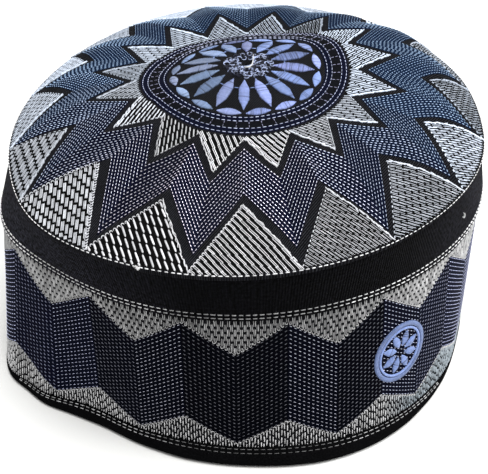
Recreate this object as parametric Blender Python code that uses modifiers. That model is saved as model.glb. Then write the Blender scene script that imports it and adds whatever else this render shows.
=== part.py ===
"""Kufi: an embroidered pillbox cap that stands on its rim.

Metres, +Z up. The rim lies on the plane z = 0 and the front of the cap faces -Y.
Azimuths are in degrees from the front and grow towards +X.
Four sewn pieces: side_wall, top_band, rim_binding and crown.
"""

import math
from collections import namedtuple

import bpy
from mathutils import Vector

MM = 0.001

# Driving dimensions
COLUMNS = 80                  # columns of faces round the cap, five for each of the crown's lobes
GAP = 0.3 * MM                # clearance between neighbouring pieces
SEAM_Z = 90.0 * MM            # height of the seam between the band and the crown
BAND_Z = 67.2 * MM            # height of the band's lower edge
WALL_THICKNESS = 2.0 * MM
BAND_THICKNESS = 1.0 * MM
BINDING_THICKNESS = 1.2 * MM
BINDING_HEIGHT = 5.0 * MM
BINDING_CORNER = 1.2 * MM     # radius of the binding's two lower corners
CROWN_THICKNESS = 1.8 * MM
CROWN_LIP = 0.9 * MM          # how far the crown's edge stands over the band
CROWN_PEAK = 23.5 * MM        # height of the crown's middle over the seam
DIMPLE_RADIUS = 7.0 * MM
DIMPLE_DEPTH = 1.6 * MM
LOBES = 16                    # points of the star, each a soft puff of the crown
LOBE_HEIGHT = 0.9 * MM
LOBE_AZIMUTH = 10.2           # azimuth of the first puff in degrees
LOBE_START = 0.55             # fraction of the way to the seam where the puffs begin

# One row for each section round the cap. rim, band and seam are the outer radii, in millimetres, of the
# binding, of the band's lower edge and of the crown's edge. h40, h60 and h80 are the crown's heights over
# the seam, in millimetres, at 40, 60 and 80 percent of the way from the middle to the seam.
Section = namedtuple("Section", "azimuth rim band seam h40 h60 h80")
SECTIONS = (
    Section(0.0, 92.3, 89.9, 97.4, 15.4, 9.8, 4.6),
    Section(22.5, 93.9, 88.9, 94.6, 16.3, 12.4, 7.0),
    Section(45.0, 92.4, 89.2, 91.6, 16.8, 13.8, 9.2),
    Section(67.5, 90.6, 90.4, 89.8, 18.0, 15.5, 11.2),
    Section(90.0, 91.5, 91.2, 88.2, 20.5, 18.4, 13.8),
    Section(112.5, 93.5, 93.0, 90.7, 22.8, 20.4, 14.5),
    Section(135.0, 95.5, 94.8, 93.9, 20.6, 19.0, 12.0),
    Section(157.5, 97.0, 97.0, 98.2, 16.4, 16.0, 8.2),
    Section(180.0, 97.5, 97.5, 99.8, 14.2, 14.8, 7.2),
    Section(202.5, 97.0, 95.5, 95.6, 13.6, 14.0, 7.6),
    Section(225.0, 96.0, 92.0, 89.4, 14.2, 13.6, 8.6),
    Section(247.5, 96.5, 90.5, 85.8, 14.4, 13.4, 9.2),
    Section(270.0, 99.0, 91.6, 86.5, 15.8, 13.7, 9.2),
    Section(292.5, 102.8, 96.0, 90.8, 17.6, 14.2, 8.6),
    Section(315.0, 94.4, 91.8, 97.6, 17.0, 11.8, 6.4),
    Section(337.5, 91.4, 90.7, 98.5, 15.6, 8.8, 3.8),
)

# Where h40 stands and how far apart the heights are, and the crown's rings of points, all as fractions of the
# way from the middle to the seam
FIRST_HEIGHT = 0.4
HEIGHT_STEP = 0.2
CROWN_RINGS = (1.0, 0.97, 0.92, 0.86, 0.79, 0.71, 0.62, 0.52, 0.41, 0.3, 0.19, 0.1, 0.05)

# One row for each sewn piece: base colour, roughness
CLOTHS = {
    "crown": ((0.10, 0.12, 0.22, 1.0), 0.75),
    "top_band": ((0.012, 0.012, 0.014, 1.0), 0.9),
    "side_wall": ((0.16, 0.17, 0.22, 1.0), 0.75),
    "rim_binding": ((0.010, 0.010, 0.012, 1.0), 0.9),
}


def smooth_curve(values, place):
    """Catmull-Rom curve through four values, between the second and the third."""
    before, start, end, after = values
    linear = (end - before) * 0.5
    square = before - 2.5 * start + 2.0 * end - 0.5 * after
    cube = 1.5 * (start - end) + 0.5 * (after - before)
    return start + place * (linear + place * (square + place * cube))


def around(column, azimuth):
    """Value of one column of SECTIONS, in metres, on a smooth closed curve through the rows."""
    count = len(SECTIONS)
    place = (azimuth % 360.0) * count / 360.0
    row = int(place)
    values = [getattr(SECTIONS[(row + step) % count], column) for step in (-1, 0, 1, 2)]
    return smooth_curve(values, place - row) * MM


def point(azimuth, radius, height):
    angle = math.radians(azimuth)
    return Vector((radius * math.sin(angle), -radius * math.cos(angle), height))


def wall_radius(azimuth, height):
    """Outer radius of the side wall: straight up to the band, then straight on to the seam."""
    at_rim = around("rim", azimuth) - BINDING_THICKNESS - GAP
    at_band = around("band", azimuth) - BAND_THICKNESS - GAP
    at_seam = around("seam", azimuth) - CROWN_LIP - BAND_THICKNESS - GAP
    if height <= BAND_Z:
        return at_rim + (at_band - at_rim) * height / BAND_Z
    return at_band + (at_seam - at_band) * (height - BAND_Z) / (SEAM_Z - BAND_Z)


def crown_height(azimuth, fraction):
    """Height of the crown's top face over the seam, without its lobes and dimple."""
    heights = [around(column, azimuth) for column in ("h40", "h60", "h80")] + [0.0]
    if fraction < FIRST_HEIGHT:
        rise = fraction / FIRST_HEIGHT
        return CROWN_PEAK + (heights[0] - CROWN_PEAK) * rise * rise * (1.6 - 0.6 * rise)
    place = (fraction - FIRST_HEIGHT) / HEIGHT_STEP
    row = min(int(place), len(heights) - 2)
    before = 2.0 * heights[0] - heights[1]
    after = 2.0 * heights[-1] - heights[-2]
    return smooth_curve(([before] + heights + [after])[row:row + 4], place - row)


def lobe_height(azimuth, fraction):
    """Soft puff of each point of the star, which fades out at the seam and towards the middle."""
    wave = 0.5 + 0.5 * math.cos(math.radians(LOBES * (azimuth - LOBE_AZIMUTH)))
    if fraction < LOBE_START:
        return 0.0
    return LOBE_HEIGHT * wave * math.sin(math.pi * (fraction - LOBE_START) / (1.0 - LOBE_START))


def dimple_depth(radius):
    if radius >= DIMPLE_RADIUS:
        return 0.0
    return DIMPLE_DEPTH * 0.5 * (1.0 + math.cos(math.pi * radius / DIMPLE_RADIUS))


def crown_point(azimuth, fraction):
    radius = around("seam", azimuth) * fraction
    height = crown_height(azimuth, fraction) + lobe_height(azimuth, fraction) - dimple_depth(radius)
    return point(azimuth, radius, SEAM_Z + height)


def azimuths():
    return [360.0 * column / COLUMNS for column in range(COLUMNS)]


def lofted_sheet(name, rings, thickness, middle=None):
    """Open sheet through closed rings, given thickness on its inner side.

    The rings run so that up the outside, or in towards the middle of the crown, faces outward.
    """
    points = [spot for ring in rings for spot in ring]
    faces = []
    for low in range(len(rings) - 1):
        for column in range(COLUMNS):
            beside = (column + 1) % COLUMNS
            here = low * COLUMNS
            above = here + COLUMNS
            faces.append((here + column, here + beside, above + beside, above + column))
    if middle is not None:
        points.append(middle)
        last = (len(rings) - 1) * COLUMNS
        faces += [(last + column, last + (column + 1) % COLUMNS, len(points) - 1) for column in range(COLUMNS)]
    mesh = bpy.data.meshes.new(name)
    mesh.from_pydata(points, [], faces)
    mesh.shade_smooth()
    mesh.set_sharp_from_angle(angle=math.radians(50.0))
    mesh.materials.append(cloth(name))
    piece = bpy.data.objects.new(name, mesh)
    solidify = piece.modifiers.new("Cloth", "SOLIDIFY")
    solidify.thickness = thickness
    solidify.offset = -1.0
    solidify.use_even_offset = True
    return piece


def cloth(name):
    colour, roughness = CLOTHS[name]
    material = bpy.data.materials.new(name)
    material.use_nodes = True
    shader = material.node_tree.nodes["Principled BSDF"]
    shader.inputs["Base Color"].default_value = colour
    shader.inputs["Roughness"].default_value = roughness
    shader.inputs["Metallic"].default_value = 0.0
    return material


def wall_ring(height, offset=0.0):
    return [point(azimuth, wall_radius(azimuth, height) + offset, height) for azimuth in azimuths()]


def side_wall():
    """Stiff side from just above the binding's fold up to the crown."""
    low = BINDING_THICKNESS + GAP
    high = SEAM_Z - CROWN_THICKNESS - GAP
    heights = [low, 0.33 * BAND_Z, 0.67 * BAND_Z, BAND_Z, 0.5 * (BAND_Z + high), high]
    return lofted_sheet("side_wall", [wall_ring(height) for height in heights], WALL_THICKNESS)


def top_band():
    """Plain ribbon lapped over the top of the wall."""
    high = SEAM_Z - CROWN_THICKNESS - GAP
    heights = [BAND_Z, 0.5 * (BAND_Z + high), high]
    offset = GAP + BAND_THICKNESS
    return lofted_sheet("top_band", [wall_ring(height, offset) for height in heights], BAND_THICKNESS)


def binding_profile():
    """Offset from the wall's outer face and height of each ring, from the inner leg's top to the outer's."""
    outer = GAP + BINDING_THICKNESS
    inner = -WALL_THICKNESS - outer
    profile = [(inner, BINDING_HEIGHT), (inner, BINDING_CORNER)]
    for angle in (30.0, 60.0, 90.0):
        turn = math.radians(angle)
        profile.append((inner + BINDING_CORNER * (1.0 - math.cos(turn)), BINDING_CORNER * (1.0 - math.sin(turn))))
    for offset, height in reversed(profile):
        profile.append((outer + inner - offset, height))
    return profile


def rim_binding():
    """Rolled binding, a U in section that holds the wall's lower edge and lies flat on the ground."""
    rings = [wall_ring(height, offset) for offset, height in binding_profile()]
    return lofted_sheet("rim_binding", rings, BINDING_THICKNESS)


def crown():
    """Domed top panel with its crest, its lobes and the dimple in its middle."""
    rings = [[crown_point(azimuth, fraction) for azimuth in azimuths()] for fraction in CROWN_RINGS]
    return lofted_sheet("crown", rings, CROWN_THICKNESS, middle=crown_point(0.0, 0.0))


def box_centre(pieces):
    """Middle, in plan, of the box round all the pieces."""
    spots = [vertex.co for piece in pieces for vertex in piece.data.vertices]
    xs = [spot.x for spot in spots]
    ys = [spot.y for spot in spots]
    return Vector(((min(xs) + max(xs)) / 2.0, (min(ys) + max(ys)) / 2.0, 0.0))


def main():
    for item in list(bpy.data.objects):
        bpy.data.objects.remove(item, do_unlink=True)
    collection = bpy.data.collections.new("kufi")
    bpy.context.scene.collection.children.link(collection)
    frame = bpy.data.objects.new("kufi_frame", None)
    collection.objects.link(frame)
    pieces = [side_wall(), top_band(), rim_binding(), crown()]
    for piece in pieces:
        collection.objects.link(piece)
        piece.parent = frame
    # The sections are drawn about the dimple, and the cap stands centred on the origin
    frame.location = -box_centre(pieces)


main()
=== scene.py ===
"""Kufi: the looks of an embroidered pillbox cap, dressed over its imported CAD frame.

Lengths are in millimetres until a mesh is made. A spot is a pair of flat coordinates on one of the cap's
surfaces: on the crown its plan position about the dimple, on the side the arc from the front and the height.
Azimuths are in degrees from the front and grow towards +X, as in the part's own table of sections.
"""

from functools import partial, reduce
from math import atan2, ceil, cos, degrees, exp, pi, radians, sin, tau

import bpy
import numpy as np
from mathutils import Matrix, Vector


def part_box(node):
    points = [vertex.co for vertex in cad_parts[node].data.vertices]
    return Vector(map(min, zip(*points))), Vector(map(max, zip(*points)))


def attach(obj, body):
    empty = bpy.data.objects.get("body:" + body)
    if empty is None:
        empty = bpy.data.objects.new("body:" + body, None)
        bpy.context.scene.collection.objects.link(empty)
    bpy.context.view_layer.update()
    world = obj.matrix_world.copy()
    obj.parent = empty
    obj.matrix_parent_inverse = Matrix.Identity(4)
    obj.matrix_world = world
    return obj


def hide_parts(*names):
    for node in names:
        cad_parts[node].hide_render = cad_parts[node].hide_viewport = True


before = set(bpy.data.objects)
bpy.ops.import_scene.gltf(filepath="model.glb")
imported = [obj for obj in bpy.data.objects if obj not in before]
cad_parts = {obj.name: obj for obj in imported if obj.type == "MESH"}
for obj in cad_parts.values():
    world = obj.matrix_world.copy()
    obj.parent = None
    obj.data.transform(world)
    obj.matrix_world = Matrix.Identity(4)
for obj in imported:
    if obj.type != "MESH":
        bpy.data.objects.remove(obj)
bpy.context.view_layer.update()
scene = bpy.context.scene
uniform = np.random.default_rng(16).uniform
join = np.concatenate

MM = 0.001

# The cap's sections, as in the part: azimuth and the outer radii of the binding, the band's lower edge and
# the crown's edge, then the crown's heights over the seam at 40, 60 and 80 percent of the way out
SECTIONS = np.array((
    (0.0, 92.3, 89.9, 97.4, 15.4, 9.8, 4.6),
    (22.5, 93.9, 88.9, 94.6, 16.3, 12.4, 7.0),
    (45.0, 92.4, 89.2, 91.6, 16.8, 13.8, 9.2),
    (67.5, 90.6, 90.4, 89.8, 18.0, 15.5, 11.2),
    (90.0, 91.5, 91.2, 88.2, 20.5, 18.4, 13.8),
    (112.5, 93.5, 93.0, 90.7, 22.8, 20.4, 14.5),
    (135.0, 95.5, 94.8, 93.9, 20.6, 19.0, 12.0),
    (157.5, 97.0, 97.0, 98.2, 16.4, 16.0, 8.2),
    (180.0, 97.5, 97.5, 99.8, 14.2, 14.8, 7.2),
    (202.5, 97.0, 95.5, 95.6, 13.6, 14.0, 7.6),
    (225.0, 96.0, 92.0, 89.4, 14.2, 13.6, 8.6),
    (247.5, 96.5, 90.5, 85.8, 14.4, 13.4, 9.2),
    (270.0, 99.0, 91.6, 86.5, 15.8, 13.7, 9.2),
    (292.5, 102.8, 96.0, 90.8, 17.6, 14.2, 8.6),
    (315.0, 94.4, 91.8, 97.6, 17.0, 11.8, 6.4),
    (337.5, 91.4, 90.7, 98.5, 15.6, 8.8, 3.8),
))
RIM, BAND, SEAM, H40, H60, H80 = range(1, 7)
FIRST_HEIGHT = 0.4
HEIGHT_STEP = 0.2

SEAM_Z = 90.0
BAND_Z = 67.2
GAP = 0.3
WALL_THICKNESS = 2.0
BAND_THICKNESS = 1.0
BINDING_THICKNESS = 1.2
HEM_HEIGHT = 7.4
HEM_CORNER = 2.0
CROWN_THICKNESS = 1.8
CROWN_LIP = 0.9
CROWN_PEAK = 23.5
DIMPLE_RADIUS = 7.0
DIMPLE_DEPTH = 1.6
LOBES = 16
LOBE_HEIGHT = 0.9
LOBE_AZIMUTH = 10.2
LOBE_START = 0.55

# Height of the top edge of the wall's and the band's cloth, under the crown
CLOTH_TOP = 87.9

# The star's sixteen sectors, each with an inward peak of the blue zigzag and an outward tip half a sector on
SECTOR = 22.5
PEAK_AZIMUTH = -0.9
TIP_AZIMUTH = 10.7

# The star's rows: the first one's radius at the peaks and at the tips, and how much further out the last
# one's peaks are
STAR_ROWS = 12
STAR_PEAK = 45.4
STAR_TIP = 60.6
STAR_DEPTH = 18.3

# The star's tips from the front towards +X: how far each stands round from its even place, and how far out
# its blue goes, as a fraction of the way to the seam
TIPS = {0: (-0.5, 0.91), 1: (-2.6, 0.95), 2: (-0.8, 0.93), 3: (-0.9, 0.935),
        12: (3.7, 0.965), 13: (2.4, 0.94), 14: (2.4, 0.92), 15: (0.9, 0.915)}
PLAIN_TIP = (0.0, 0.92)

# Radii of the outer silver areas' inward corners, and of the inner ones' outward and inward corners and base
OUTER_APEX = 68.4
INNER_TIP = 54.9
INNER_PEAK = 40.5
INNER_BASE = 38.4

# Arc on the side for each degree, at the wall's mean radius
ARC = radians(1.0) * 93.0

# Side zigzag: azimuth of the first peak and of the valley before it, its edges' heights, its rows and the
# dots of a row in a facet
SIDE_PEAK = 8.5
SIDE_VALLEY = -2.8
SIDE_TOP = (50.0, 62.4)
SIDE_BOTTOM = (8.7, 19.2)
SIDE_ROWS = 24
SIDE_DOTS = 11

# Azimuths on the cap, and where they would be in an even zigzag
SIDE_PLACES = ((-200.0, -180.0, -62.3, -49.2, -37.3, -14.5, -2.8, 8.6, 31.6, 54.3, 90.0, 200.0),
               (-200.0, -180.0, -59.2, -48.0, -36.7, -14.0, -2.8, 8.5, 31.0, 53.5, 90.0, 200.0))

# Azimuths, and how high the binding stands there. It rolls under the rim at the cap's sides.
HEM_TOPS = ((-180.0, -115.0, -85.0, -64.0, -53.0, -41.0, -28.0, 10.0, 26.0, 42.0, 54.0, 90.0, 120.0, 180.0),
            (7.4, 7.0, 3.0, 3.0, 5.0, 7.8, 7.4, 7.2, 6.2, 4.8, 3.6, 3.6, 7.0, 7.4))

# Azimuths, and how far the binding's belly swells out under its stitches
BELLIES = ((-180.0, -50.0, -30.0, -22.0, -15.0, 0.0, 8.0, 15.0, 22.0, 30.0, 38.0, 45.0, 52.0, 75.0, 180.0),
           (0.8, 0.2, 0.2, 1.1, 2.0, 2.1, 2.5, 2.8, 2.6, 2.3, 1.7, 0.7, 0.2, 0.2, 0.8))

# Azimuths, and how far the wall comes out over its binding, which is rolled under there
TUCKS = ((-180.0, -130.0, -108.0, -68.0, -58.0, 50.0, 62.0, 108.0, 130.0, 180.0),
         (0.0, 0.0, 1.4, 1.4, 0.0, 0.0, 1.4, 1.4, 0.0, 0.0))

# Dents and bulges of the soft rim: the azimuth of each, half its width in degrees and how far out it goes
RIM_BULGES = ((-75.0, 5.0, -1.8), (-63.0, 5.0, 1.8), (-52.0, 6.0, 2.4), (-36.0, 6.0, -1.0),
              (72.0, 14.0, -2.0), (96.0, 16.0, -2.6))

# Thread colours, linear
WHITE = np.array((0.66, 0.66, 0.67))
PALE = np.array((0.215, 0.300, 0.585))

# Painted light of a silver area's thread: how brightly its tint is painted, from bright to dim
PAINTED_BRIGHT, PAINTED_MID, PAINTED_DIM = 0.96, 0.80, 0.54

# Looks of the silver areas by sector, from the front towards +X: the columns' pitch, the strands in a
# stitch, their spacing and width, the stitches' length, how far they lap over one another and their painted
# light
OUTER_LOOKS = {
    0: (1.87, 2, 0.52, 0.36, 4.8, 0.6, PAINTED_MID),
    1: (1.16, 2, 0.78, 0.19, 4.4, 0.0, PAINTED_MID),
    2: (1.3, 2, 0.86, 0.22, 4.8, 0.0, PAINTED_MID),
    3: (1.3, 2, 0.86, 0.36, 4.4, -0.1, PAINTED_BRIGHT),
    4: (1.3, 2, 0.86, 0.28, 4.2, -0.1, PAINTED_DIM),
    5: (1.3, 2, 0.8, 0.24, 4.0, -0.2, PAINTED_DIM),
    9: (1.3, 2, 0.86, 0.26, 4.0, -0.1, PAINTED_BRIGHT),
    10: (1.3, 2, 0.86, 0.24, 4.0, -0.1, PAINTED_DIM),
    11: (1.3, 2, 0.86, 0.26, 4.0, -0.1, PAINTED_MID),
    12: (1.4, 2, 0.9, 0.30, 4.2, -0.1, PAINTED_MID),
    13: (1.6, 3, 0.42, 0.31, 4.6, -0.2, PAINTED_DIM),
    14: (1.62, 3, 0.36, 0.32, 5.0, -0.2, PAINTED_MID),
    15: (2.0, 1, 0.80, 0.92, 5.2, 0.35, PAINTED_MID),
}
INNER_LOOKS = {
    0: (1.75, 2, 0.52, 0.36, 3.6, 0.3, PAINTED_BRIGHT),
    1: (1.3, 2, 0.86, 0.20, 4.0, 0.0, PAINTED_BRIGHT),
    2: (1.4, 2, 0.9, 0.22, 4.2, 0.0, PAINTED_BRIGHT),
    3: (1.8, 2, 1.0, 0.46, 4.6, 0.1, PAINTED_BRIGHT),
    4: (1.8, 2, 1.0, 0.46, 4.6, 0.1, PAINTED_BRIGHT),
    5: (1.8, 2, 1.0, 0.42, 4.4, 0.0, PAINTED_BRIGHT),
    6: (1.5, 2, 0.9, 0.30, 4.0, 0.0, PAINTED_DIM),
    11: (1.5, 2, 0.9, 0.28, 4.0, 0.0, PAINTED_DIM),
    12: (1.5, 2, 0.95, 0.34, 4.0, 0.0, PAINTED_DIM),
    13: (1.45, 1, 0.6, 0.62, 4.2, 0.5, PAINTED_MID),
    14: (1.4, 1, 0.62, 0.66, 3.8, 0.3, PAINTED_DIM),
    15: (1.95, 2, 0.50, 0.40, 4.6, 0.5, PAINTED_BRIGHT),
}
PLAIN_LOOK = (1.5, 2, 0.95, 0.30, 4.0, 0.0, PAINTED_BRIGHT)

# Where the outer silver areas' inward corners stand off their even places: round, in degrees, and out
APEXES = {0: (0.0, 0.5), 1: (0.7, 0.0), 14: (-1.7, 0.0), 15: (0.0, 1.5)}

# Shortest stitch in a silver area and how deep each thread's foot is sunk into the cloth
LEAST_STITCH = 0.9
SINK = 0.12

# A dash's steps along half its length, for one that bends round the cap
DASH = np.array((-1.0, -0.75, 0.75, 1.0))

# Columns of points round the cap in its cloths, and the angles of their rounded edges
COLUMNS = 320
AZIMUTHS = -180.0 + np.arange(COLUMNS) * 360.0 / COLUMNS
ROUNDING = np.radians((30.0, 60.0, 90.0, 120.0, 150.0))

# The photograph's width and the camera's focal length, both in pixels, its turns in radians and its place
FRAME_WIDTH = 488.0
FOCAL_LENGTH = 1122.94
YAW, PITCH, ROLL = -0.0035904, 0.6348302, -0.0125253
CAMERA_PLACE = (0.0, -368.89, 305.13)


# The cap's surfaces

def smooth_curve(values, place):
    """Catmull-Rom curve through four values, between the second and the third."""
    before, start, end, after = values
    linear = (end - before) * 0.5
    square = before - 2.5 * start + 2 * end - 0.5 * after
    cube = 1.5 * (start - end) + 0.5 * (after - before)
    return start + place * (linear + place * (square + place * cube))


def around(column, azimuth):
    """One column of SECTIONS on a smooth closed curve through its rows."""
    place = np.mod(azimuth, 360) * len(SECTIONS) / 360
    row = np.floor(place).astype(int)
    values = [SECTIONS[(row + step) % len(SECTIONS), column] for step in (-1, 0, 1, 2)]
    return smooth_curve(values, place - row)


def wrapped(azimuth):
    """The same azimuth from -180 up to 180."""
    return np.mod(azimuth + 180, 360) - 180


def turns(count, first=0):
    """Evenly spaced azimuths all round the cap."""
    return first + np.arange(count) * 360 / count


def lookup(table, azimuth):
    """Value at an azimuth from a table of azimuths and values."""
    return np.interp(wrapped(azimuth), *table)


def wall_radius(azimuth, height):
    """Outer radius of the side wall."""
    at_rim = around(RIM, azimuth) - BINDING_THICKNESS - GAP + lookup(TUCKS, azimuth)
    for middle, width, bulge in RIM_BULGES:
        at_rim = at_rim + bulge * np.exp(-((wrapped(azimuth) - middle) / width) ** 2)
    at_band = around(BAND, azimuth) - BAND_THICKNESS - GAP
    at_seam = around(SEAM, azimuth) - CROWN_LIP - BAND_THICKNESS - GAP
    below = at_rim + (at_band - at_rim) * height / BAND_Z
    above = at_band + (at_seam - at_band) * (height - BAND_Z) / (SEAM_Z - BAND_Z)
    return np.where(height <= BAND_Z, below, above)


def crown_height(azimuth, fraction):
    """Height of the crown's top face over the seam, with its lobes and dimple."""
    azimuth, fraction = np.broadcast_arrays(azimuth, fraction)
    h40, h60, h80 = (around(column, azimuth) for column in (H40, H60, H80))
    rise = np.clip(fraction / FIRST_HEIGHT, 0, 1)
    middle = CROWN_PEAK + (h40 - CROWN_PEAK) * rise * rise * (1.6 - 0.6 * rise)
    heights = np.stack((2 * h40 - h60, h40, h60, h80, np.zeros_like(h40), -h80))
    place = (fraction - FIRST_HEIGHT) / HEIGHT_STEP
    row = np.clip(np.floor(place).astype(int), 0, 2)
    values = [np.take_along_axis(heights, (row + step)[None], 0)[0] for step in range(4)]
    height = np.where(fraction < FIRST_HEIGHT, middle, smooth_curve(values, place - row))
    wave = 0.5 + 0.5 * np.cos(np.radians(LOBES * (azimuth - LOBE_AZIMUTH)))
    swell = np.sin(pi * np.clip((fraction - LOBE_START) / (1 - LOBE_START), 0, 1))
    radius = np.minimum(around(SEAM, azimuth) * fraction, DIMPLE_RADIUS)
    dimple = DIMPLE_DEPTH * 0.5 * (1 + np.cos(pi * radius / DIMPLE_RADIUS))
    return height + LOBE_HEIGHT * wave * swell - dimple


def polar(azimuth, radius):
    """Plan position of an azimuth and a radius."""
    angle = np.radians(azimuth)
    return np.stack((radius * np.sin(angle), -radius * np.cos(angle)), -1)


def raised(plan, height):
    """Plan positions with their heights."""
    return join((plan, np.broadcast_to(height, plan.shape[:-1])[..., None]), -1)


def side_spots(azimuth, height):
    """Spots on the side at azimuths and heights."""
    return np.stack(np.broadcast_arrays(azimuth * ARC, height), -1)


def unit(vectors):
    return vectors / np.maximum(np.linalg.norm(vectors, axis=-1, keepdims=True), 1e-9)


def heading(angle):
    """Flat direction of an angle."""
    return np.stack((np.cos(angle), np.sin(angle)), -1)


def crosswise(along):
    """Flat directions turned a quarter turn to the left."""
    return np.stack((-along[..., 1], along[..., 0]), -1)


def crown_points(spots):
    azimuth = np.degrees(np.arctan2(spots[..., 0], -spots[..., 1]))
    fraction = np.hypot(spots[..., 0], spots[..., 1]) / around(SEAM, azimuth)
    return raised(spots, SEAM_Z + crown_height(azimuth, np.minimum(fraction, 1.02)))


def side_points(spots, offset=0):
    azimuth, height = spots[..., 0] / ARC, spots[..., 1]
    return raised(polar(azimuth, wall_radius(azimuth, height) + offset), height)


def binding_rise(low, height):
    """How far up a height on the binding is, from 0 at a lower one to 1 at its top edge."""
    return np.clip((height - low) / (HEM_HEIGHT - low), 0, 1)


def binding_reach(height):
    """How far the binding's outer face stands off the wall. Its stitched top edge is drawn in."""
    return GAP + BINDING_THICKNESS + 0.15 - 0.8 * binding_rise(2.5, height) ** 2


def hem_level(azimuth, height):
    """Where a height above the binding's rounded corner comes to stand, as it rolls under at the sides."""
    share = (lookup(HEM_TOPS, azimuth) - HEM_CORNER) / (HEM_HEIGHT - HEM_CORNER)
    return np.where(height > HEM_CORNER, HEM_CORNER + (height - HEM_CORNER) * share, height)


def binding_belly(azimuth, height):
    """How far the binding's lower part swells out at an azimuth. It fades out up to the stitched edge."""
    rise = binding_rise(HEM_CORNER, height)
    return lookup(BELLIES, azimuth) * (1 - rise) - lookup(TUCKS, azimuth) * (1 - 0.6 * rise)


def binding_points(spots):
    azimuth, height = spots[..., 0] / ARC, spots[..., 1]
    level = hem_level(azimuth, height)
    radius = wall_radius(azimuth, level) + binding_reach(height) + binding_belly(azimuth, height)
    return raised(polar(azimuth, radius), level)


def with_normals(points_at, spots):
    """Points of a surface at these spots and the surface's unit normals there."""
    step = np.array((0.15, 0))
    first = points_at(spots + step) - points_at(spots - step)
    second = points_at(spots + step[::-1]) - points_at(spots - step[::-1])
    return points_at(spots), unit(np.cross(first, second))


on_crown = partial(with_normals, crown_points)
on_wall = partial(with_normals, side_points)
on_band = partial(with_normals, partial(side_points, offset=GAP + BAND_THICKNESS))
on_binding = partial(with_normals, binding_points)


def frame_shift():
    """From the sections' axis to the shared frame, where the whole cap's box is centred."""
    azimuth = np.arange(0, 360, 4.5)
    edge = polar(azimuth, around(SEAM, azimuth))
    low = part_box("crown")[0]
    return np.array((low.x / MM - edge[:, 0].min(), low.y / MM - edge[:, 1].min(), 0))


SHIFT = frame_shift()


# Meshes

def placed(name, data):
    """New object in the scene."""
    item = bpy.data.objects.new(name, data)
    scene.collection.objects.link(item)
    return item


def mesh_object(name, points, faces, material, uv=None, tint=None, turn=None):
    """Smooth mesh from rows of arrays. uv is in millimetres and tint is a colour, both for each vertex.

    turn is how far the first uv coordinate runs in one turn round the cap, for a piece closed round it.
    """
    points, faces = join(points), join(faces)
    mesh = bpy.data.meshes.new(name)
    mesh.vertices.add(len(points))
    mesh.vertices.foreach_set("co", ((points + SHIFT) * MM).astype(np.float32).ravel())
    mesh.loops.add(faces.size)
    mesh.loops.foreach_set("vertex_index", faces.astype(np.int32).ravel())
    mesh.polygons.add(len(faces))
    mesh.polygons.foreach_set("loop_start", np.arange(0, faces.size, faces.shape[1], dtype=np.int32))
    mesh.update(calc_edges=True)
    mesh.shade_smooth()
    if uv is not None:
        spots = join(uv)[faces].astype(np.float32)
        if turn is not None:
            behind = spots[..., :1] < spots[..., :1].max(1, keepdims=True) - turn / 2
            spots[..., :1] += behind * turn
        mesh.uv_layers.new(name="cloth").uv.foreach_set("vector", spots.ravel())
    if tint is not None:
        rgba = np.insert(join(tint), 3, 1, 1)
        colours = mesh.attributes.new("tint", "FLOAT_COLOR", "POINT")
        colours.data.foreach_set("color", rgba.astype(np.float32).ravel())
    mesh.materials.append(material)
    piece = placed(name, mesh)
    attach(piece, "root")
    return piece


def shell(name, rings, material, uv, turn=None):
    """Cloth through rings of points round the cap, closed on itself."""
    count, columns = rings.shape[:2]
    low = np.arange(count)[:, None] * columns
    high = np.roll(low, -1, 0)
    here = np.arange(columns)
    beside = np.roll(here, -1)
    quads = np.stack((low + here, low + beside, high + beside, high + here), -1)
    return mesh_object(name, rings, quads, material, uv, turn=turn)


def ridged_fill(name, surface, facets, rows, tints, low_ridge, high_ridge):
    """Close-laid ground in facets, with a rounded ridge under each row of stitches.

    facets holds each facet's spots as (rows, columns, 2) and rows the same rows' places, whole at each ridge.
    """
    ridge = low_ridge + (high_ridge - low_ridge) * np.abs(np.cos(pi * rows)) ** 0.7
    ridge[[0, -1]] = -0.3 if high_ridge > low_ridge else low_ridge
    points, faces, colours = [], [], []
    first = 0
    for spots, tint in zip(facets, tints):
        face, normal = surface(spots)
        points.append((face + normal * ridge[:, None, None]).reshape(-1, 3))
        columns = spots.shape[1]
        low = np.arange(len(rows) - 1)[:, None] * columns + first + np.arange(columns - 1)
        high = low + columns
        faces.append(np.stack((high, high + 1, low + 1, low), -1).reshape(-1, 4))
        colours.append(np.broadcast_to(tint, points[-1].shape))
        first += len(points[-1])
    piece = mesh_object(name, points, faces, NAVY_FILL, tint=colours)


def thread_faces(rings, sides):
    """Triangles of one thread: a fan at each tip and a skin between its rings."""
    here = np.arange(sides)
    beside = np.roll(here, -1)
    start = np.full(sides, rings * sides)
    last = (rings - 1) * sides
    faces = [np.stack((start, beside, here), 1)]
    for low in range(0, last, sides):
        high = low + sides
        faces.append(np.stack((low + here, low + beside, high + beside), 1))
        faces.append(np.stack((low + here, high + beside, high + here), 1))
    faces.append(np.stack((last + here, last + beside, start + 1), 1))
    return join(faces)


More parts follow.
